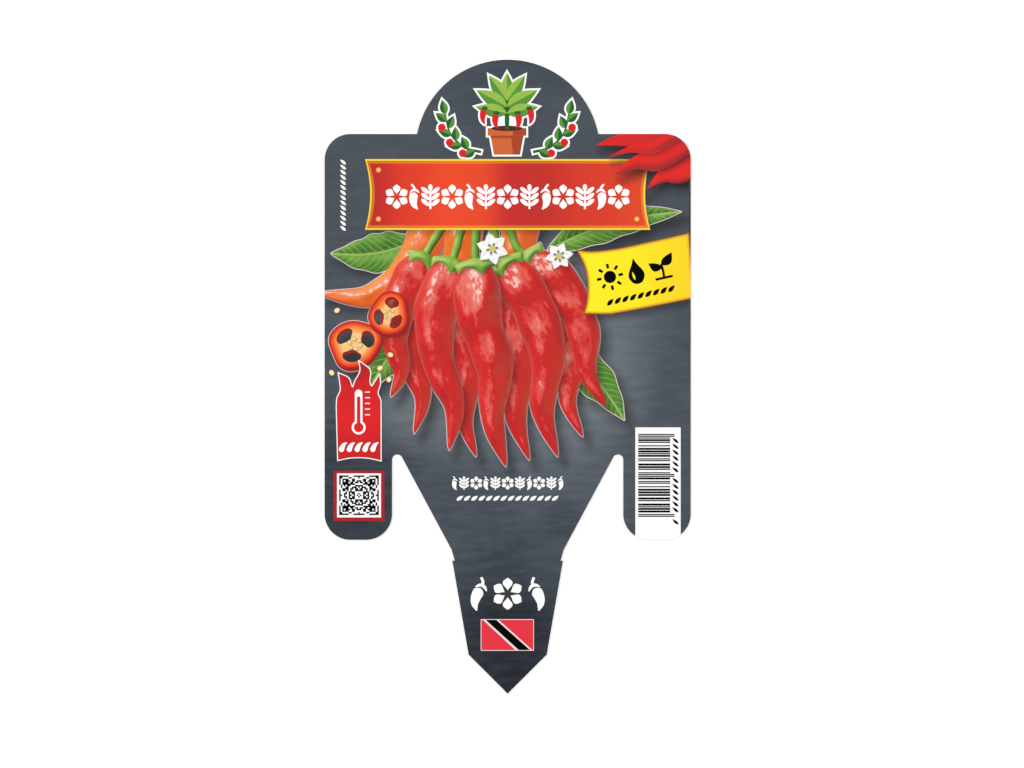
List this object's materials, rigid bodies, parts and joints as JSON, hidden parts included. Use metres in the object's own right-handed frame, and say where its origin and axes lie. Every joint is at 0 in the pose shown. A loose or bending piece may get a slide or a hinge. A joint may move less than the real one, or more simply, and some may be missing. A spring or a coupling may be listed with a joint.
{
  "type": "plant label",
  "caption": "Flat die-cut plastic plant label with an arched header, two hanging tabs and a pointed stake; it sticks into potting soil astride the pot's rim.",
  "frame": {"origin": "centre of the outline's box, on the blank back face that the label lies on", "axes": "+Y from the stake's point towards the arched header, +Z out of the printed face, +X to the right of the print"},
  "size_m": [0.11, 0.1904, 0.0005],
  "materials": {
    "printed_plastic": "satin white plastic sheet, printed slate grey on its upper face"
  },
  "bodies": {
    "root": {"label_sheet": "printed_plastic"}
  },
  "joints": []
}
